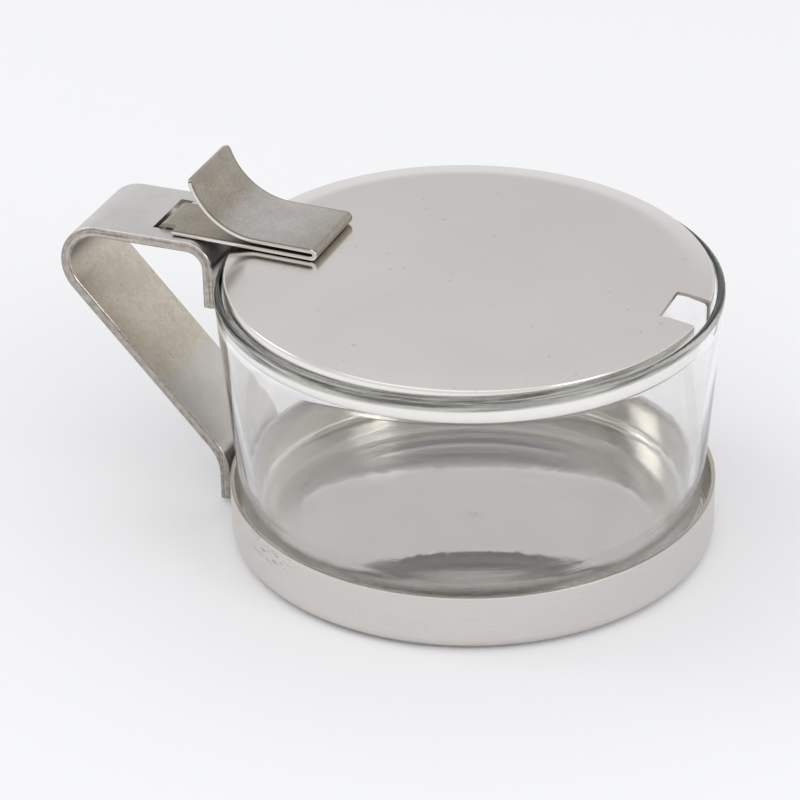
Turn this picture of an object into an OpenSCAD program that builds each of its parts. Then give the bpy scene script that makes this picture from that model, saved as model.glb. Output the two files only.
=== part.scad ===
// Serving bowl with a hinged lid: a clear glass bowl stands in a shallow steel tray. A bent strap
// welded to the tray is the handle, and the lid's folded thumb lever hooks through a slot in it.
// Origin: centre of the tray's underside. +X points away from the handle, +Z up.

/* [Tray] */
// Outer radius of the tray
tray_r = 48.7; // [47:0.1:50]
// Height of the tray's wall
tray_h = 12.1; // [8:0.1:16]
// Outer radius of the bend between floor and wall
tray_bend_r = 3; // [1.5:0.1:5]
// Thickness of the tray's sheet
tray_t = 0.9; // [0.6:0.1:1.2]

/* [Glass bowl] */
// Outer radius of the bowl at its rim
rim_r = 50; // [49.5:0.1:50.2]
// Height of the rim above the table
rim_z = 54.5; // [50:0.1:55]
// Growth of the outer radius for each millimetre of height
taper = 0.08; // [0.06:0.01:0.1]
// Thickness of the wall at the rim
rim_t = 1.2; // [1:0.1:1.4]
// Thickness of the wall just above the base
heel_t = 2.2; // [1.6:0.1:3]
// Thickness of the base
base_t = 3; // [2:0.1:5]
// Outer radius of the round between base and wall
heel_r = 10.5; // [6:0.1:12]
// Place of the bowl's axis along X
bowl_x = -0.3; // [-0.5:0.1:0]

/* [Handle strap] */
// Width of the strap
strap_w = 22; // [18:0.5:24]
// Thickness of the strap
strap_t = 2.2; // [1.8:0.1:2.4]
// Height of the strap's top face
strap_top = 58.7; // [58:0.1:60]
// Centre of the outer bend along X
outer_bend_x = -75.5; // [-80:0.5:-72]
// Outer radius of the bend at the far end
outer_bend_r = 8.7; // [6:0.1:12]
// Lean of the slanted run from upright, in degrees
lean = 42.4; // [36:0.1:48]
// Middle radius of the bend above the tray
foot_bend_r = 10.1; // [6:0.1:14]
// Centre of the bend beside the bowl along X
inner_bend_x = -56.2; // [-58:0.1:-56]
// Outer radius of the bend beside the bowl
inner_bend_r = 5.6; // [4:0.1:5.6]
// Height of the lower end of the strap
tab_low_z = 1.3; // [0.5:0.1:3]
// Height of the upper end of the strap
tab_high_z = 44.9; // [40:0.1:48]

/* [Hinge] */
// Length of the slot across the strap
slot_l = 13.6; // [12:0.1:15]
// Far edge of the slot along X
slot_x = -65.15; // [-66:0.05:-65]
// Hinge axis along X
hinge_x = -62; // [-62.5:0.1:-61.5]
// Gap between the bar and the lever's hook
hinge_gap = 0.3; // [0.2:0.05:0.4]
// Slope of the closed lid, in degrees
droop = 1.3; // [1:0.1:1.4]

/* [Lid] */
// Outer radius of the lid
lid_r = 47.9; // [47.6:0.1:48]
// Place of the lid's centre along X
lid_x = -0.4; // [-0.6:0.1:-0.2]
// Depth of the skirt below the lid's edge
skirt_h = 6.7; // [4:0.1:8]
// Rise of the flat top above the edge
lid_rise = 0.75; // [0.4:0.05:1.2]
// Width of the sloped margin
margin_w = 4.9; // [3:0.1:8]
// Thickness of the lid's sheet
lid_t = 0.7; // [0.5:0.1:0.9]
// Width of the spoon notch
notch_w = 10.7; // [8:0.1:14]
// Middle of the notch along Y
notch_y = 0.45; // [-1:0.05:1]
// Inner edge of the notch along X
notch_x = 40.4; // [38:0.1:43]

/* [Thumb lever] */
// Width of the lever's leaves
lever_w = 18.5; // [16:0.5:20]
// Width of the neck that passes the slot
neck_w = 10; // [8:0.1:11]
// Middle of the neck along Y
neck_y = -1.5; // [-1.6:0.1:1.6]
// Thickness of the lever's sheet
lever_t = 0.9; // [0.7:0.05:0.9]
// Start of the full-width leaf along X
shoulder_x = -59.9; // [-60:0.1:-59]
// Outermost point of the fold along X
fold_x = -28.7; // [-32:0.1:-26]
// Gap between the two leaves
fold_gap = 0.6; // [0.4:0.1:1]
// Radius of the thumb rest's hollow side
rest_r = 14.2; // [12:0.1:16]
// Turn of the thumb rest, in degrees
rest_turn = 74.5; // [60:0.5:80]
// Start of the thumb rest along X
rest_x = -41.7; // [-44:0.1:-40]

/* [Hidden] */
// Gap that a spot weld fills
weld_gap = 0.15;
// Radius of a spot weld
weld_r = 2;
// Spacing of a pair of spot welds
weld_pitch = 8;
// Middle of the lever's welds along X
lever_weld_x = -38;
// Height of the tab's welds
tab_weld_z = 4.5;
// Largest turn between two points of a bend, in degrees
bend_step = 6;
// Cutter length past a surface
over = 5;
// Bar of the strap that the lever turns on
bar_r = strap_t / 2;
hinge_z = strap_top - bar_r;
hook_r = bar_r + hinge_gap;
hook_mid_r = hook_r + lever_t / 2;
leaf_z = hinge_z + hook_r;
plate_z = leaf_z - weld_gap;
edge_z = plate_z - lid_rise;
fold_mid_r = (lever_t + fold_gap) / 2;
// Short end of the hook, under the strap
hook_foot_l = 1.9;
hook_bend_r = 1.25;
hook_leg_l = 0.55;
// Strap's middle line
tab_mid_x = -(tray_r + weld_gap + strap_t / 2);
upper_mid_r = outer_bend_r - strap_t / 2;
inner_mid_r = inner_bend_r - strap_t / 2;
slant_l = (tab_mid_x - foot_bend_r * (1 - cos(lean)) - outer_bend_x + upper_mid_r * cos(lean)) / sin(lean);
slant_top_z = hinge_z - upper_mid_r - upper_mid_r * sin(lean);
foot_bend_z = slant_top_z - slant_l * cos(lean) - foot_bend_r * sin(lean);
tab_high_l = hinge_z - inner_mid_r - tab_high_z;

$fn = 96;

// Quarter of a square with a rounded far corner, to round the corners of turned profiles
module rounded_corner(r) {
    intersection() {
        circle(r);
        square(r);
    }
}

// Points along one side of a bent strip, at a distance off to the left of its middle line. Each run is
// [straight length, middle radius of the bend after it, turn to the left in degrees].
function side_points(runs, off, at, heading, i = 0) =
    i == len(runs) ? [] :
    let (
        side = runs[i][2] < 0 ? -1 : 1,
        r = runs[i][1],
        bend_at = at + runs[i][0] * [cos(heading), sin(heading)],
        centre = bend_at + side * r * [-sin(heading), cos(heading)],
        steps = r == 0 ? 0 : ceil(abs(runs[i][2]) / bend_step),
        last = heading + runs[i][2]
    )
    concat(
        [for (k = [0:steps])
            let (h = heading + (steps == 0 ? 0 : runs[i][2] * k / steps))
            centre + (off - side * r) * [-sin(h), cos(h)]],
        side_points(runs, off, centre - side * r * [-sin(last), cos(last)], last, i + 1)
    );

// A strip of thickness t and width w, bent in the XZ plane
module strip(runs, t, w, at, heading) {
    start = [[0, 0, 0]];
    left = side_points(concat(start, runs), t / 2, at, heading);
    right = side_points(concat(start, runs), -t / 2, at, heading);
    rotate([90, 0, 0]) linear_extrude(w, center = true)
        polygon(concat(left, [for (k = [len(right) - 1:-1:0]) right[k]]));
}

// Turns the closed lid about the hinge to the slope at which it rests
module at_rest() {
    translate([hinge_x, 0, hinge_z])
        rotate([0, droop, 0])
            translate([-hinge_x, 0, -hinge_z]) children();
}

// Shallow dish of drawn sheet: solid of revolution of a cup's profile
module cup_shape(r, h, bend) {
    rotate_extrude() union() {
        translate([0, bend]) square([r, h - bend]);
        square([r - bend, bend]);
        translate([r - bend, bend]) mirror([0, 1]) rounded_corner(bend);
    }
}

module tray() {
    color("silver") difference() {
        cup_shape(tray_r, tray_h, tray_bend_r);
        translate([0, 0, tray_t])
            cup_shape(tray_r - tray_t, tray_h + over, tray_bend_r - tray_t);
    }
}

module handle() {
    color("darkgray") {
        difference() {
            strip([
                [foot_bend_z - tab_low_z, foot_bend_r, lean],
                [slant_l, upper_mid_r, -90 - lean],
                [inner_bend_x - outer_bend_x, inner_mid_r, -90],
                [tab_high_l, 0, 0]
            ], strap_t, strap_w, [tab_mid_x, tab_low_z], 90);
            translate([slot_x, -slot_l / 2, hinge_z - over])
                cube([hinge_x - slot_x, slot_l, 2 * over]);
        }
        translate([hinge_x, slot_l / 2, hinge_z]) rotate([90, 0, 0]) cylinder(h = slot_l, r = bar_r);
    }
}

// Two spot welds between the strap's lower tab and the tray's wall
module handle_welds() {
    color("gray") difference() {
        for (y = [-weld_pitch / 2, weld_pitch / 2])
            translate([-tray_r - weld_gap, y, tab_weld_z]) rotate([0, 90, 0]) cylinder(h = 1, r = weld_r);
        cylinder(h = tray_h, r = tray_r, $fn = 400);
    }
}

module glass_bowl() {
    foot_z = tray_t;
    wall_r = rim_r - taper * (rim_z - foot_z - heel_r);
    inner_floor_z = foot_z + base_t;
    inner_heel_r = heel_r - heel_t / 2;
    inner_wall_r = wall_r - heel_t;
    round_top_z = inner_floor_z + inner_heel_r;
    lip_r = rim_t / 2;
    color("lightcyan", 0.4) translate([bowl_x, 0, 0]) rotate_extrude() {
        difference() {
            union() {
                polygon([[0, foot_z], [wall_r - heel_r, foot_z], [wall_r - heel_r, foot_z + heel_r],
                    [wall_r, foot_z + heel_r], [rim_r, rim_z - lip_r], [0, rim_z - lip_r]]);
                translate([wall_r - heel_r, foot_z + heel_r]) mirror([0, 1]) rounded_corner(heel_r);
            }
            polygon([[0, inner_floor_z], [inner_wall_r - inner_heel_r, inner_floor_z],
                [inner_wall_r - inner_heel_r, round_top_z], [inner_wall_r, round_top_z],
                [rim_r - rim_t, rim_z - lip_r], [0, rim_z - lip_r]]);
            translate([inner_wall_r - inner_heel_r, round_top_z])
                mirror([0, 1]) rounded_corner(inner_heel_r);
        }
        translate([rim_r - lip_r, rim_z - lip_r]) circle(lip_r);
    }
}

module lid() {
    flat_r = lid_r - margin_w;
    skirt_z = edge_z - skirt_h;
    color("gainsboro") at_rest() translate([lid_x, 0, 0]) difference() {
        rotate_extrude() difference() {
            polygon([[0, skirt_z], [lid_r, skirt_z], [lid_r, edge_z], [flat_r, plate_z], [0, plate_z]]);
            polygon([[0, skirt_z - over], [lid_r - lid_t, skirt_z - over], [lid_r - lid_t, edge_z - lid_t],
                [flat_r, plate_z - lid_t], [0, plate_z - lid_t]]);
        }
        translate([notch_x - lid_x, notch_y - notch_w / 2, skirt_z - over])
            cube([lid_r, notch_w, skirt_h + 3 * over]);
    }
}

module thumb_lever() {
    straight_end = fold_x - lever_t - fold_gap / 2;
    start = [hinge_x - hook_mid_r - hook_bend_r - hook_foot_l, hinge_z - hook_leg_l - hook_bend_r];
    color("darkgray") at_rest() difference() {
        strip([
            [hook_foot_l, hook_bend_r, 90],
            [hook_leg_l, hook_mid_r, -90],
            [straight_end - hinge_x, fold_mid_r, 180],
            [straight_end - rest_x, rest_r + lever_t / 2, -rest_turn]
        ], lever_t, lever_w, start, 0);
        for (y = [neck_y - neck_w / 2 - lever_w, neck_y + neck_w / 2])
            translate([shoulder_x - lever_w, y, hinge_z - over])
                cube([lever_w, lever_w, over + hook_r + lever_t + fold_gap / 2]);
    }
}

// Two spot welds between the lid's plate and the lever's lower leaf
module lever_welds() {
    color("gray") at_rest()
        for (y = [-weld_pitch / 2, weld_pitch / 2])
            translate([lever_weld_x, y, plate_z]) cylinder(h = weld_gap, r = weld_r);
}

tray();
handle();
handle_welds();
glass_bowl();
lid();
thumb_lever();
lever_welds();
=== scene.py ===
# Serving bowl with a hinged lid: tray, strap handle, glass bowl, lid and thumb lever, on a pale table.
import math

import bpy
from mathutils import Matrix, Vector


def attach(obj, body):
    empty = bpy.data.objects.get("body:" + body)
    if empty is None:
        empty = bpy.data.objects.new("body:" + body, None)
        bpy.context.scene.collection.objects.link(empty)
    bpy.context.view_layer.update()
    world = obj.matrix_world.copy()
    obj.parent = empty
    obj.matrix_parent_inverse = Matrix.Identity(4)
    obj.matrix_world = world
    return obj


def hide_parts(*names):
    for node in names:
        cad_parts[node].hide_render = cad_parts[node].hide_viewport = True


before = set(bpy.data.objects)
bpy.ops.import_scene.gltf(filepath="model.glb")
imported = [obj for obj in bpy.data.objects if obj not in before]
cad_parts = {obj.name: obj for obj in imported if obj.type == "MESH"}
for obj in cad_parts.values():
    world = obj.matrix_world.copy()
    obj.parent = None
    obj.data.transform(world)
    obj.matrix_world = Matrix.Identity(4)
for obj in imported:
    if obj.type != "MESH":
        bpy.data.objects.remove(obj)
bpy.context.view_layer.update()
MM = 0.001

# ---- Table and studio ------------------------------------------------------------------------------
# A wide white sweep under a large soft box, with a smaller box at each side and a white room all
# round, as for a catalogue picture. The camera stands well back with a long lens and looks down.
bpy.context.scene.view_settings.view_transform = "Standard"
bpy.context.scene.cycles.max_bounces = 32
bpy.context.scene.cycles.transmission_bounces = 32
bpy.context.scene.cycles.glossy_bounces = 16
AZIMUTH, ELEVATION, ROLL = (math.radians(a) for a in (22.43, 28.98, -1.2))
AIM = Vector((-13.19, -5.445, 28.41)) * MM
DISTANCE = 700.3 * MM
LENS = 158.5

outward = math.cos(ELEVATION)
back = Vector((math.sin(AZIMUTH) * outward, -math.cos(AZIMUTH) * outward, math.sin(ELEVATION)))
level = Vector((math.cos(AZIMUTH), math.sin(AZIMUTH), 0))
right = level * math.cos(ROLL) + back.cross(level) * math.sin(ROLL)
bpy.ops.object.camera_add()
camera = bpy.context.object
camera.data.lens = LENS
camera_turn = Matrix((right, back.cross(right), back)).transposed().to_4x4()
camera.matrix_world = Matrix.Translation(AIM + back * DISTANCE) @ camera_turn
bpy.context.scene.camera = camera


def soft_box(name, place, aim, size, power, tint=(1, 1, 1)):
    """A square area light at a place, turned towards a point."""
    bpy.ops.object.light_add(type="AREA", location=place)
    lamp = bpy.context.object
    lamp.name = name
    lamp.rotation_euler = (Vector(aim) - Vector(place)).to_track_quat("-Z", "Y").to_euler()
    lamp.data.size = size
    lamp.data.energy = power
    lamp.data.color = tint


soft_box("overhead_box", (0.0, -0.6, 1.05), (0, -0.1, 0), 1.4, 3.0, (1.0, 0.985, 0.965))
soft_box("right_box", (1.0, -0.3, 0.6), (0, 0, 0.03), 0.45, 2.2, (0.95, 0.965, 1.0))
soft_box("left_box", (-1.0, -0.1, 0.7), (0, 0, 0.03), 0.4, 1.3, (0.95, 0.965, 1.0))

# The room is brighter low down, where the sweep rises behind the table, than half way up.
room = bpy.data.worlds.new("white_room")
room.use_nodes = True
nodes, links = room.node_tree.nodes, room.node_tree.links
direction = nodes.new("ShaderNodeTexCoord")
height = nodes.new("ShaderNodeSeparateXYZ")
shade = nodes.new("ShaderNodeValToRGB")
for place, grey in ((0.0, 1.0), (0.25, 1.0), (0.45, 0.78), (0.8, 0.84)):
    stop = shade.color_ramp.elements[0] if place == 0 else shade.color_ramp.elements.new(place)
    stop.position = place
    stop.color = (grey, grey * 1.005, grey * 1.02, 1)
shade.color_ramp.elements.remove(shade.color_ramp.elements[-1])
links.new(direction.outputs["Generated"], height.inputs[0])
links.new(height.outputs["Z"], shade.inputs[0])
links.new(shade.outputs[0], nodes["Background"].inputs["Color"])
bpy.context.scene.world = room


# ---- Shader writing --------------------------------------------------------------------------------
# Finishes are written as sums and products of patterns; these two classes turn them into nodes.
class Value:
    """An output of a finish's node that can be used in a sum, a product or a power."""

    def __init__(self, finish, socket):
        self.finish = finish
        self.socket = socket

    def math(self, operation, first, second):
        return self.finish.node("Math", {"operation": operation}, {0: first, 1: second})

    def __add__(self, other):
        return self.math("ADD", self, other)

    def __sub__(self, other):
        return self.math("SUBTRACT", self, other)

    def __mul__(self, other):
        return self.math("MULTIPLY", self, other)

    def __rsub__(self, other):
        return self.math("SUBTRACT", other, self)

    __radd__ = __add__
    __rmul__ = __mul__

    def above(self, low, high):
        """0 below low, 1 above high and smooth between; high may be the smaller one."""
        settings = {"interpolation_type": "SMOOTHSTEP"}
        start, end = (0, 1) if low < high else (1, 0)
        low, high = sorted((low, high))
        return self.finish.node("MapRange", settings, {0: self, 1: low, 2: high, 3: start, 4: end})

    def size(self):
        return self.math("ABSOLUTE", self, 0)

    def at_least(self, limit):
        return self.math("MAXIMUM", self, limit)

    def at_most(self, limit):
        return self.math("MINIMUM", self, limit)


class Finish:
    """A material with one Principled shader."""

    def __init__(self, name, **sockets):
        self.material = bpy.data.materials.new(name)
        self.material.use_nodes = True
        self.tree = self.material.node_tree
        self.shader = self.tree.nodes["Principled BSDF"]
        self.set(**sockets)

    def set(self, **sockets):
        for name, value in sockets.items():
            self.feed(self.shader.inputs[name.replace("_", " ")], value)

    def feed(self, target, value):
        if isinstance(value, Value):
            self.tree.links.new(value.socket, target)
        elif isinstance(value, tuple) and len(value) == 3 and target.type == "RGBA":
            target.default_value = (*value, 1)
        else:
            target.default_value = value

    def node(self, kind, settings, inputs, output=0):
        made = self.tree.nodes.new("ShaderNode" + kind)
        for name, value in settings.items():
            setattr(made, name, value)
        for name, value in inputs.items():
            self.feed(made.inputs[name], value)
        return Value(self, made.outputs[output])

    def place(self):
        """Position on the piece, in metres."""
        return self.node("TexCoord", {}, {}, "Object")

    def axes(self):
        """The three coordinates of the position, in millimetres."""
        scaled = self.node("VectorMath", {"operation": "SCALE"}, {0: self.place(), "Scale": 1 / MM})
        return [self.node("SeparateXYZ", {}, {0: scaled}, k) for k in range(3)]

    def vector(self, x, y, z):
        return self.node("CombineXYZ", {}, {0: x, 1: y, 2: z})

    def length(self, x, y):
        """Distance from the axis that x and y are measured from."""
        return self.node("VectorMath", {"operation": "LENGTH"}, {0: self.vector(x, y, 0)}, "Value")

    def bearing(self, x, y):
        """Angle round the upright axis, in radians from -pi to pi."""
        return self.node("Math", {"operation": "ARCTAN2"}, {0: y, 1: x})

    def noise(self, where, scale, detail=3.0, rough=0.55):
        inputs = {"Vector": where, "Scale": scale, "Detail": detail, "Roughness": rough}
        return self.node("TexNoise", {}, inputs, "Fac")

    def mix(self, factor, first, second):
        return self.node("Mix", {"data_type": "RGBA"}, {0: factor, 6: first, 7: second}, 2)

    def bump(self, height, distance, strength=1.0):
        inputs = {"Strength": strength, "Distance": distance, "Height": height}
        self.set(Normal=self.node("Bump", {}, inputs))


floor_finish = Finish("white_sweep", Base_Color=(0.87, 0.87, 0.876), Roughness=0.9)
bpy.ops.mesh.primitive_plane_add(size=6)
table = bpy.context.object
table.name = "table"
table.data.materials.append(floor_finish.material)


# ---- Tray ------------------------------------------------------------------------------------------
# A shallow dish drawn from 0.9 mm stainless sheet, brushed outside and polished inside. Its cut rim
# is left square with the arrises broken. It is turned ring by ring from its own profile.
STEPS = 192


def arc(radius, height, r, start, end, steps=8):
    """Profile points round a corner, from one angle to the other in degrees, at (radius, height)."""
    turns = [math.radians(start + (end - start) * k / steps) for k in range(steps + 1)]
    return [(radius + r * math.cos(t), height + r * math.sin(t)) for t in turns]


def turned(name, profile, axis_x=0.0):
    """A closed solid of revolution: a circle is extruded and scaled from ring to ring."""
    bpy.ops.object.select_all(action="DESELECT")
    (radius, height), *rest = profile
    first = (axis_x * MM, 0, height * MM)
    bpy.ops.mesh.primitive_circle_add(vertices=STEPS, radius=radius * MM, location=first)
    piece = bpy.context.object
    piece.name = name
    bpy.ops.object.transform_apply()
    bpy.ops.object.mode_set(mode="EDIT")
    bpy.ops.mesh.select_all(action="SELECT")
    bpy.ops.mesh.edge_face_add()
    bpy.ops.mesh.select_mode(type="EDGE")
    for r, z in rest:
        bpy.ops.mesh.extrude_edges_move(TRANSFORM_OT_translate={"value": (0, 0, (z - height) * MM)})
        scale = r / radius
        bpy.ops.transform.resize(value=(scale, scale, 1), center_override=(axis_x * MM, 0, z * MM))
        radius, height = r, z
    bpy.ops.mesh.edge_face_add()
    bpy.ops.mesh.select_all(action="SELECT")
    bpy.ops.mesh.normals_make_consistent(inside=False)
    bpy.ops.object.mode_set(mode="OBJECT")
    return piece


def finish_piece(piece, finish, body, node, angle=30):
    """Smooths a piece, gives it its finish, and lets it stand for its node on its body."""
    bpy.ops.object.select_all(action="DESELECT")
    piece.select_set(True)
    bpy.context.view_layer.objects.active = piece
    bpy.ops.object.shade_smooth_by_angle(angle=math.radians(angle))
    piece.data.materials.clear()
    piece.data.materials.append(finish.material)
    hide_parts(node)
    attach(piece, body)


TRAY_R, TRAY_H, TRAY_T, TRAY_BEND = 48.7, 12.1, 0.9, 3.0
ARRIS = 0.18
tray = turned(
    "tray_dish",
    [(20, 0), (TRAY_R - TRAY_BEND - 0.4, 0)]
    + arc(TRAY_R - TRAY_BEND, TRAY_BEND, TRAY_BEND, -90, 0)
    + [(TRAY_R, TRAY_BEND + 0.4), (TRAY_R, TRAY_H - ARRIS - 0.1)]
    + arc(TRAY_R - ARRIS, TRAY_H - ARRIS, ARRIS, 0, 90, 4)
    + arc(TRAY_R - TRAY_T + ARRIS, TRAY_H - ARRIS, ARRIS, 90, 180, 4)
    + [(TRAY_R - TRAY_T, TRAY_H - ARRIS - 0.1), (TRAY_R - TRAY_T, TRAY_BEND + 0.4)]
    + arc(TRAY_R - TRAY_BEND, TRAY_BEND, TRAY_BEND - TRAY_T, 0, -90)
    + [(TRAY_R - TRAY_BEND - 0.4, TRAY_T), (20, TRAY_T)],
)

tray_steel = Finish("tray_steel", Metallic=1.0)
x, y, z = tray_steel.axes()
angle = tray_steel.bearing(x, y)
brush = tray_steel.noise(tray_steel.vector(angle * 3, z * 9, 0), 1.0, 5.0, 0.7)
scuffs = tray_steel.noise(tray_steel.vector(angle * 22, z * 2.6, 0), 1.0, 3.0, 0.6).above(0.57, 0.63)
scuffed = angle.above(-2.35, -2.25) * angle.above(-1.95, -2.1) * z.above(7.0, 8.5)
cloud = tray_steel.noise(tray_steel.place(), 45.0, 2.0)
floor = z.above(1.3, 1.0)
reach = tray_steel.length(x, y)
inner_wall = (1 - floor) * reach.above(TRAY_R - 0.4, TRAY_R - 0.6)
cut_rim = z.above(TRAY_H - 0.12, TRAY_H - 0.04)
# Besides a random cloud, the wall's tone shifts a little from one side to the other: painted shade for how
# the light falls across the tray.
cloud_and_painted_shade = (x * 0.012 + y * -0.004 + cloud - 0.5).above(-0.6, 0.8)
tone_with_painted_shade = tray_steel.mix(cloud_and_painted_shade, (0.715, 0.68, 0.65), (0.695, 0.675, 0.655))
brushed = tray_steel.mix((brush - 0.5).above(-0.22, 0.22) * 0.25, tone_with_painted_shade, (0.50, 0.475, 0.455))
wall_colour = tray_steel.mix(scuffs * (scuffed * 0.8 + 0.06), brushed, (0.20, 0.17, 0.15))
# The inner wall is painted lighter than the outside: painted light against the dark of the narrow gap by
# the glass's heel. Its lower roughness is its polish.
wall_colour = tray_steel.mix(inner_wall, wall_colour, (0.74, 0.725, 0.70))
floor_colour = tray_steel.mix(floor, wall_colour, (0.58, 0.55, 0.528))
tray_steel.set(
    Base_Color=tray_steel.mix(cut_rim, floor_colour, (0.50, 0.46, 0.41)),
    Roughness=0.30 + brush * 0.10 - floor * 0.31 - inner_wall * 0.22 + cut_rim * 0.08,
)
tray_steel.bump(brush * (1 - floor), 0.00002, 0.4)
finish_piece(tray, tray_steel, "holder", "tray")


# ---- Strap handle ----------------------------------------------------------------------------------
# One strap of 22 x 2.2 mm steel with broken edges, bent four times: up from the tray's wall, out along
# a slant, back over a flat top and down beside the bowl. A slot crosses the top near the bowl, and its
# inner edge is rounded to a bar for the lid's hook. The lower tab is spot-welded to the tray.
def bent_strip(name, runs, thickness, width, start, heading, arris, tip=0.0):
    """A rounded strip section is extruded along the straights and spun round the bends, from a start
    in the XZ plane. Each run is (straight length, middle radius, turn to the left in degrees). A tip
    is one more short length, with corners of that radius."""
    bpy.ops.object.select_all(action="DESELECT")
    at = Vector((start[0], 0, start[1])) * MM
    ahead = Vector((math.cos(math.radians(heading)), 0, math.sin(math.radians(heading))))
    bpy.ops.mesh.primitive_plane_add(size=1)
    piece = bpy.context.object
    piece.name = name
    left = Vector((-ahead.z, 0, ahead.x))
    section_turn = Matrix((left, Vector((0, 1, 0)), -ahead)).transposed().to_4x4()
    piece.matrix_world = Matrix.Translation(at) @ section_turn
    piece.scale = (thickness * MM, width * MM, 1)
    bpy.ops.object.transform_apply()
    bpy.ops.object.mode_set(mode="EDIT")
    bpy.ops.mesh.select_all(action="SELECT")
    bpy.ops.mesh.bevel(offset=arris * MM, segments=4, affect="VERTICES")
    for length, radius, turn in runs:
        if length:
            bpy.ops.mesh.extrude_region_move(TRANSFORM_OT_translate={"value": ahead * length * MM})
            at += ahead * length * MM
        if turn:
            side = math.copysign(1, turn)
            centre = at + Vector((-ahead.z, 0, ahead.x)) * side * radius * MM
            steps = max(2, math.ceil(abs(turn) / 4))
            bpy.ops.mesh.spin(steps=steps, angle=math.radians(turn), center=centre, axis=(0, 1, 0))
            spun = Matrix.Rotation(math.radians(turn), 4, (0, -1, 0))
            at = centre + spun @ (at - centre)
            ahead = spun @ ahead
    tip_steps = 6 if tip else 0
    done, wide = 0.0, width
    for k in range(1, tip_steps + 1):
        bow = math.radians(90 * k / tip_steps)
        ahead_by = tip * math.sin(bow) - done
        bpy.ops.mesh.extrude_region_move(TRANSFORM_OT_translate={"value": ahead * ahead_by * MM})
        narrowed = width - 2 * tip * (1 - math.cos(bow))
        bpy.ops.transform.resize(value=(1, narrowed / wide, 1), center_override=(0, 0, 0))
        done, wide = done + ahead_by, narrowed
    bpy.ops.mesh.select_all(action="SELECT")
    bpy.ops.mesh.remove_doubles(threshold=0.000001)
    bpy.ops.mesh.normals_make_consistent(inside=False)
    bpy.ops.object.mode_set(mode="OBJECT")
    return piece


def block(low, high):
    """A box between two corners, in millimetres, to cut with."""
    bpy.ops.object.select_all(action="DESELECT")
    middle = (Vector(low) + Vector(high)) / 2 * MM
    bpy.ops.mesh.primitive_cube_add(size=1, location=middle, scale=(Vector(high) - Vector(low)) * MM)
    bpy.ops.object.transform_apply()
    return bpy.context.object


def combine(piece, tool, operation):
    """Cuts a tool from a piece, or joins it to the piece, and removes the tool."""
    change = piece.modifiers.new("combine", "BOOLEAN")
    change.object = tool
    change.operation = operation
    change.solver = "EXACT"
    bpy.context.view_layer.objects.active = piece
    bpy.ops.object.modifier_apply(modifier=change.name)
    bpy.data.objects.remove(tool)


STRAP_T, STRAP_W, STRAP_TOP = 2.2, 22.0, 58.7
OUTER_BEND_X, INNER_BEND_X, LEAN, FOOT_BEND = -75.5, -56.2, 42.4, 10.1
TAB_LOW, TAB_HIGH = 1.3, 44.9
SLOT_X, SLOT_L = -65.15, 13.6
HINGE_X, HINGE_Z = -62.0, STRAP_TOP - STRAP_T / 2
upper_r = 8.7 - STRAP_T / 2
inner_r = 5.6 - STRAP_T / 2
tab_x = -(TRAY_R + 0.15 + STRAP_T / 2)
lean = math.radians(LEAN)
slant_span = tab_x - FOOT_BEND * (1 - math.cos(lean)) - OUTER_BEND_X + upper_r * math.cos(lean)
slant = slant_span / math.sin(lean)
foot_bend_z = HINGE_Z - upper_r * (1 + math.sin(lean)) - slant * math.cos(lean) - FOOT_BEND * math.sin(lean)
handle = bent_strip(
    "strap_handle",
    [
        (foot_bend_z - TAB_LOW, FOOT_BEND, LEAN),
        (slant, upper_r, -90 - LEAN),
        (INNER_BEND_X - OUTER_BEND_X, inner_r, -90),
        (HINGE_Z - inner_r - TAB_HIGH, 0, 0),
    ],
    STRAP_T, STRAP_W, (tab_x, TAB_LOW), 90, 0.45,
)
combine(handle, block((SLOT_X, -SLOT_L / 2, 50), (HINGE_X, SLOT_L / 2, 65)), "DIFFERENCE")
bpy.ops.object.select_all(action="DESELECT")
bpy.ops.mesh.primitive_cylinder_add(
    vertices=48, radius=(STRAP_T / 2 - 0.004) * MM, depth=(SLOT_L + 0.4) * MM,
    location=(HINGE_X * MM, 0, HINGE_Z * MM), rotation=(math.pi / 2, 0, 0),
)
bpy.ops.object.transform_apply()
combine(handle, bpy.context.object, "UNION")

strap_steel = Finish("strap_steel", Metallic=1.0)
x, y, z = strap_steel.axes()
# Depth through the strap, from its middle outwards: the rolled and ground streaks on the cut edges
# follow it, and the inside faces are the stained ones.
above_bend = z - (HINGE_Z - upper_r)
out_x = x - OUTER_BEND_X
slant_out = out_x * -math.cos(lean) - above_bend * math.sin(lean)
bend_out = strap_steel.length(out_x, above_bend)
past_slant = (above_bend * math.cos(lean) - out_x * math.sin(lean)).above(-0.05, 0.05)
round_bend = out_x.above(0.05, -0.05) * past_slant
on_top = out_x.above(-0.05, 0.05) * z.above(50, 50.1)
on_slant = (1 - round_bend) * (1 - on_top)
tab_rise = (z - (HINGE_Z - inner_r)).at_least(0)
tab_out = strap_steel.length(x - INNER_BEND_X, tab_rise)
past_top = x.above(INNER_BEND_X, INNER_BEND_X + 0.05) * z.above(40, 40.1)
on_foot = z.above(12.1, 12)
outer_side = slant_out * on_slant + bend_out * round_bend + above_bend * on_top - upper_r
proud = outer_side * (1 - past_top) * (1 - on_foot) + (tab_out - inner_r) * past_top + (tab_x - x) * on_foot
run_along = x * 0.05 + z * 0.05
cut_edge = y.size().above(10.5, 10.75)
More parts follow.
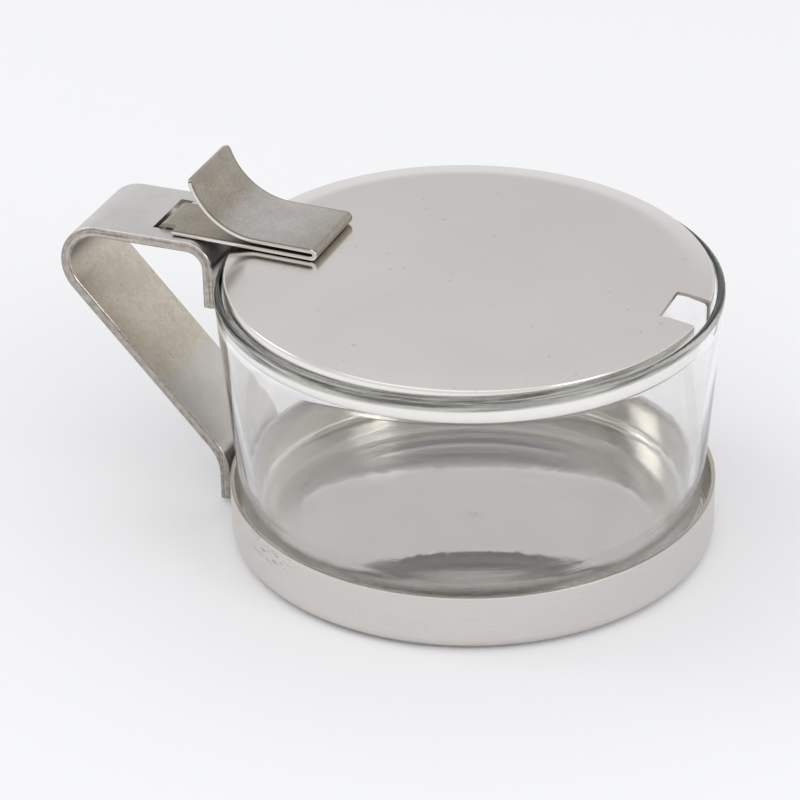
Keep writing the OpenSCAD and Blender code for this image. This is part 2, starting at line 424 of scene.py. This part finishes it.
# The broken arrises of the cut edges are painted lighter: a painted highlight.
arris = y.size().above(10.5, 10.62) * y.size().above(10.92, 10.8)
streak = strap_steel.noise(strap_steel.vector(proud * 2.6, run_along, y * 0.3), 1.0, 5.0, 0.7)
pits = strap_steel.noise(strap_steel.place(), 650.0, 3.0, 0.7)
grain = strap_steel.noise(strap_steel.place(), 1800.0, 3.0, 0.6)
cloud = strap_steel.noise(strap_steel.place(), 110.0, 3.0)
specks = strap_steel.noise(strap_steel.place(), 1500.0, 4.0, 0.65).above(0.60, 0.67)
inside = proud.above(0.6, -0.6)
face = strap_steel.mix(cloud.above(0.35, 0.65), (0.60, 0.575, 0.565), (0.645, 0.62, 0.61))
tarnish_and_bend_reflection = strap_steel.mix((cloud + pits).above(0.8, 1.2), (0.535, 0.482, 0.395), (0.615, 0.562, 0.475))
# On the inside of the upper outer bend the stain is darkened further: a painted reflection of the dark
# underside there.
tarnish_and_bend_reflection = strap_steel.mix(z.above(47, 53) * out_x.above(1, -4), tarnish_and_bend_reflection, (0.34, 0.30, 0.265))
worn = strap_steel.mix((streak + pits * 0.35).above(0.48, 0.85), (0.20, 0.175, 0.15), (0.55, 0.51, 0.465))
lower = z.above(28, 24)
stained = strap_steel.mix(inside * (1 - lower * 0.7), face, tarnish_and_bend_reflection)
surface = strap_steel.mix(cut_edge, stained, strap_steel.mix(arris, worn, (0.68, 0.645, 0.60)))
strap_steel.set(
    Base_Color=strap_steel.mix(specks * (inside * (1 - lower) * 0.4 + 0.12), surface, (0.20, 0.175, 0.15)),
    Roughness=0.34 + grain * 0.10 - cut_edge * 0.12 - arris * 0.08,
)
strap_steel.bump(grain * 0.4 + cut_edge * streak * 2, 0.00004, 0.6)
finish_piece(handle, strap_steel, "holder", "handle")

weld_steel = Finish("weld_steel", Metallic=1.0)
scale_marks = weld_steel.noise(weld_steel.place(), 700.0, 4.0)
weld_steel.set(
    Base_Color=weld_steel.mix(scale_marks, (0.26, 0.25, 0.24), (0.44, 0.42, 0.40)),
    Roughness=0.45 + scale_marks * 0.2,
)
for node in ("handle_welds", "lever_welds"):
    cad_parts[node].data.materials.clear()
    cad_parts[node].data.materials.append(weld_steel.material)


# ---- Glass bowl ------------------------------------------------------------------------------------
# Clear pressed glass. The wall thickens towards a rounded heel, the base is flat below and slightly
# dished inside, and the rim ends in a fire-polished bead. It stands loose on the tray's floor.
RIM_R, RIM_Z, RIM_T, BEAD_T, TAPER = 50.0, 54.5, 1.2, 1.8, 0.08
HEEL_R, HEEL_T, BASE_T, BOWL_X = 10.5, 2.2, 3.0, -0.3
DISH, DISH_RINGS = 5.4, 36
wall_r = RIM_R - TAPER * (RIM_Z - TRAY_T - HEEL_R)
inner_heel = HEEL_R - HEEL_T / 2
inner_r_low = wall_r - HEEL_T
inner_floor = TRAY_T + BASE_T + 0.7
lip = BEAD_T / 2
dish_r = inner_r_low - inner_heel + inner_heel * math.sin(math.radians(DISH))
dish_depth = dish_r * math.tan(math.radians(DISH)) / 2
dish_shares = [k / DISH_RINGS for k in range(DISH_RINGS - 1, 2, -1)]
inner_start = (inner_r_low + TAPER * 0.8, inner_floor + inner_heel + 0.8)
bowl = turned(
    "glass_bowl_clear",
    [(20, TRAY_T + 0.02), (wall_r - HEEL_R - 0.5, TRAY_T + 0.02)]
    + arc(wall_r - HEEL_R, TRAY_T + 0.02 + HEEL_R, HEEL_R, -90, 0, 24)
    + [(wall_r + TAPER * 0.8, TRAY_T + HEEL_R + 0.8), (RIM_R - TAPER * 0.8, RIM_Z - lip - 0.8)]
    + arc(RIM_R - lip, RIM_Z - lip, lip, 0, 180, 12)
    + [(RIM_R - BEAD_T, RIM_Z - lip - 0.3), (RIM_R - BEAD_T + 0.1, RIM_Z - lip - 0.9)]
    + [(RIM_R - RIM_T - 0.25, RIM_Z - lip - 2.6), (RIM_R - RIM_T - 0.24, RIM_Z - lip - 3.4)]
    + [(RIM_R - RIM_T - 0.26, RIM_Z - lip - 4.2), inner_start]
    + arc(inner_r_low - inner_heel, inner_floor + inner_heel, inner_heel, 0, -90 + DISH, 24)
    + [(dish_r * share, inner_floor - dish_depth * (1 - share**2)) for share in dish_shares],
    BOWL_X,
)
# The rim's dark grey-green bands are partly the glass's own tint and partly painted shade that deepens the
# dark gap between lid and rim. The heel's yellow-green is a tint that stands in for what a long way through
# the glass shows, and a few shallow waves bend what is seen through it.
clear_glass = Finish("clear_glass", Roughness=0.0, IOR=1.5, Transmission_Weight=1.0)
x, y, z = clear_glass.axes()
angle = clear_glass.bearing(x, y)
reach = clear_glass.length(x, y)
heel = z.above(6, 3.5) * reach.above(39, 42)
lower = z.above(20, 10) * reach.above(34, 38)
rim = z.above(RIM_Z - 1.7, RIM_Z - 1.1)
ripple = clear_glass.noise(clear_glass.place(), 60.0, 1.0)
drawn = clear_glass.noise(clear_glass.vector(angle * 2.5, z * 1.7, reach * 1.7), 1.0, 3.0, 0.6)
fine_lines = clear_glass.noise(clear_glass.vector(angle * 1.5, z * 3.5, reach * 3.5), 1.0, 3.0, 0.6)
upright = clear_glass.noise(clear_glass.vector(angle * 8 + z * 0.05, z * 0.02, 0), 1.0, 1.0)
# Painted shade darkens the rim's bands together with their tint.
banded_tint_and_painted_shade = clear_glass.mix(drawn.above(0.38, 0.58), (0.03, 0.033, 0.025), (0.36, 0.375, 0.335))
body = clear_glass.mix(rim, (0.99, 0.993, 0.99), banded_tint_and_painted_shade)
clear_glass.set(Base_Color=clear_glass.mix(heel, body, (0.95, 0.955, 0.79)))
wavy = drawn * rim * 2 + (drawn * 0.7 + fine_lines * 0.8) * lower + upright * (1 - rim) * (1 - lower) * 0.8
clear_glass.bump(ripple * 0.6 + wavy, 0.0001, 0.35)
finish_piece(bowl, clear_glass, "holder", "glass_bowl", 40)
# Clear glass lets the light on to the table, so the bowl throws no shadow of its own.
bowl.visible_shadow = False


# ---- Lid -------------------------------------------------------------------------------------------
# Drawn from 0.7 mm stainless sheet and polished: a flat plate, a margin that slopes gently down to the
# edge, and a skirt that drops inside the bowl's rim and turns in a little at its lower edge. A notch
# for the spoon is cut out opposite the hinge.
LID_R, LID_X, LID_T, SKIRT, MARGIN = 47.9, -0.4, 0.7, 6.7, 4.9
NOTCH_X, NOTCH_NEAR, NOTCH_FAR = 40.4, -4.9, 5.8
PLATE_Z = HINGE_Z + STRAP_T / 2 + 0.3 - 0.15
EDGE_Z = PLATE_Z - 0.75
DROOP = math.radians(1.3)
HINGE = Vector((HINGE_X, 0, HINGE_Z)) * MM


def settle(piece):
    """Turns a piece about the hinge to the slope at which the closed lid rests."""
    turn = Matrix.Rotation(DROOP, 4, "Y")
    piece.data.transform(Matrix.Translation(HINGE) @ turn @ Matrix.Translation(-HINGE))


slope = math.degrees(math.atan2(PLATE_Z - EDGE_Z, MARGIN))
blend_r, edge_r, curl_r, curl_turn = 18.0, 0.5, 2.6, 30
curl_z = EDGE_Z - SKIRT + curl_r * math.sin(math.radians(curl_turn))
flat_r = LID_R - MARGIN - blend_r * math.tan(math.radians(slope / 2))
lid = turned(
    "lid_plate",
    [(20, PLATE_Z), (flat_r - 0.8, PLATE_Z)]
    + arc(flat_r, PLATE_Z - blend_r, blend_r, 90, 90 - slope, 8)
    + arc(LID_R - edge_r, EDGE_Z + 0.1 - edge_r, edge_r, 90 - slope, 0, 8)
    + [(LID_R, EDGE_Z - edge_r - 0.2), (LID_R, curl_z + 0.2)]
    + arc(LID_R - curl_r, curl_z, curl_r, 0, -curl_turn, 8)
    + arc(LID_R - curl_r, curl_z, curl_r - LID_T, -curl_turn, 0, 8)
    + [(LID_R - LID_T, EDGE_Z - 1.4), (LID_R - LID_T - 0.4, EDGE_Z - 0.75)]
    + [(LID_R - MARGIN, PLATE_Z - LID_T), (20, PLATE_Z - LID_T)],
    LID_X,
)
combine(lid, block((NOTCH_X, NOTCH_NEAR, 45), (55, NOTCH_FAR, 62)), "DIFFERENCE")
settle(lid)

# The skirt's outside is lightened and its inside darkened, in place of what they would reflect.
lid_steel = Finish("lid_steel", Metallic=1.0)
x, y, z = lid_steel.axes()
haze = lid_steel.noise(lid_steel.place(), 28.0, 2.0)
fine = lid_steel.noise(lid_steel.vector(x * 0.02, y * 0.6, z), 6.0, 3.0, 0.6)
reach = lid_steel.length(x - LID_X, y)
unsettled = z + (x - HINGE_X) * math.tan(DROOP)
under = unsettled.above(PLATE_Z - 1.0, PLATE_Z - 1.3) * reach.above(LID_R - 0.25, LID_R - 0.45)
under = under * reach.above(LID_R - 2.6, LID_R - 1.4)
skirt = unsettled.above(EDGE_Z - 0.4, EDGE_Z - 0.7)
plate = lid_steel.mix(haze.above(0.3, 0.7), (0.69, 0.66, 0.635), (0.73, 0.705, 0.68))
# Painted shade: the plate is painted darker towards its far side, for how the light falls across it.
plate = lid_steel.mix(y.above(-30, 50) * 0.6, plate, (0.60, 0.575, 0.555))
specks = lid_steel.noise(lid_steel.place(), 700.0, 2.0, 0.5).above(0.70, 0.76)
hairlines = lid_steel.noise(lid_steel.vector(x * 0.9 + y * 0.3, x * -0.02 + y * 0.05, 0), 1.0, 4.0, 0.7)
plate = lid_steel.mix(specks * 0.35 + (hairlines - 0.5).above(0.12, 0.3) * 0.12, plate, (0.38, 0.35, 0.33))
outside = lid_steel.mix(skirt, plate, (0.90, 0.875, 0.84))
sawn = x.above(NOTCH_X - 0.2, NOTCH_X - 0.1) * y.above(NOTCH_NEAR - 0.08, NOTCH_NEAR - 0.02)
sawn = sawn * y.above(NOTCH_FAR + 0.08, NOTCH_FAR + 0.02)
outside = lid_steel.mix(sawn, outside, (0.40, 0.355, 0.31))
lid_steel.set(
    Base_Color=lid_steel.mix(under, outside, (0.22, 0.205, 0.19)),
    Roughness=0.13 + haze * 0.06 + fine * 0.03,
)
finish_piece(lid, lid_steel, "lid", "lid")


# ---- Thumb lever -----------------------------------------------------------------------------------
# One strip of 0.9 mm sheet. A narrow neck hooks down through the strap's slot and under it; the lower
# leaf lies on strap and lid, folds back over itself at the far end, and curls up as a thumb rest.
LEVER_T, LEVER_W, NECK_W, NECK_Y = 0.9, 18.5, 10.0, -1.5
SHOULDER_X, FOLD_X, FOLD_GAP = -59.9, -28.7, 0.6
REST_X, REST_R, REST_TURN = -41.7, 14.2, 74.5
HOOK_FOOT, HOOK_BEND, HOOK_LEG = 1.9, 1.25, 0.55
hook_r = STRAP_T / 2 + 0.3 + LEVER_T / 2
straight_end = FOLD_X - LEVER_T - FOLD_GAP / 2
tip = 1.3
tip_turn = math.degrees(tip / (REST_R + LEVER_T / 2))
hook_start = (HINGE_X - hook_r - HOOK_BEND - HOOK_FOOT, HINGE_Z - HOOK_LEG - HOOK_BEND)
lever = bent_strip(
    "folded_thumb_lever",
    [
        (HOOK_FOOT, HOOK_BEND, 90),
        (HOOK_LEG, hook_r, -90),
        (straight_end - HINGE_X, (LEVER_T + FOLD_GAP) / 2, 180),
        (straight_end - REST_X, REST_R + LEVER_T / 2, tip_turn - REST_TURN),
    ],
    LEVER_T, LEVER_W, hook_start, 0, 0.2, tip,
)
neck_top = HINGE_Z + hook_r + LEVER_T / 2 + FOLD_GAP / 2
for near, far in ((-20, NECK_Y - NECK_W / 2), (NECK_Y + NECK_W / 2, 20)):
    combine(lever, block((-75, near, 50), (SHOULDER_X, far, neck_top)), "DIFFERENCE")
settle(lever)

lever_steel = Finish("lever_steel", Metallic=1.0)
x, y, z = lever_steel.axes()
mottle = lever_steel.noise(lever_steel.place(), 1500.0, 3.0, 0.65)
cloud = lever_steel.noise(lever_steel.place(), 170.0, 3.0)
# The thumb rest's curl and the lower leaf are painted darker: on the curl a painted reflection, on the
# lower leaf painted shade under the upper one.
curl = z.above(61.6, 65)
lower_leaf = z.above(60.9, 60.5)
# The cut edge is painted light and dark in place of its highlight and shade.
cut_edge_with_painted_light = y.size().above(9.02, 9.1)
# Depth through the sheet, with the lever turned back to its level place: the cut edge gets a painted
# highlight along its middle and painted shade along both arrises.
level_x = x - (z - HINGE_Z) * math.tan(DROOP)
level_z = z + (x - HINGE_X) * math.tan(DROOP)
upper_mid = HINGE_Z + hook_r + LEVER_T + FOLD_GAP
rest_mid_r = REST_R + LEVER_T / 2
rest_x = (level_x - REST_X).at_most(0)
rest_depth = lever_steel.length(rest_x, level_z - (upper_mid + rest_mid_r)) - rest_mid_r
on_lower = level_z.above(upper_mid - LEVER_T / 2 - 0.1, upper_mid - LEVER_T / 2 - 0.2)
edge_depth = (rest_depth * (1 - on_lower) + (level_z - (HINGE_Z + hook_r)) * on_lower).size()
painted_arris_shade = edge_depth.above(0.24, 0.36) * (1 - level_x.above(-30.2, -29.8))
# A thin line of painted shade runs along each face just inside the edge.
painted_face_edge_shade = y.size().above(8.78, 8.92) * y.size().above(9.08, 9.0)
patchy = (mottle * 0.6 + cloud * 0.4).above(0.36, 0.64)
satin = lever_steel.mix(patchy, (0.445, 0.42, 0.395), (0.54, 0.515, 0.49))
painted_shade_tone = lever_steel.mix(patchy, (0.30, 0.265, 0.215), (0.385, 0.35, 0.295))
blank = lever_steel.mix(curl + lower_leaf, satin, painted_shade_tone)
lever_steel.set(
    Base_Color=lever_steel.mix(
        cut_edge_with_painted_light,
        lever_steel.mix(painted_face_edge_shade * 0.8, blank, (0.12, 0.10, 0.085)),
        lever_steel.mix(painted_arris_shade * 0.85, (0.74, 0.70, 0.65), (0.13, 0.11, 0.095)),
    ),
    Roughness=0.34 + mottle * 0.1 - cut_edge_with_painted_light * 0.24,
)
lever_steel.bump(mottle, 0.00002, 0.5)
finish_piece(lever, lever_steel, "lid", "thumb_lever")
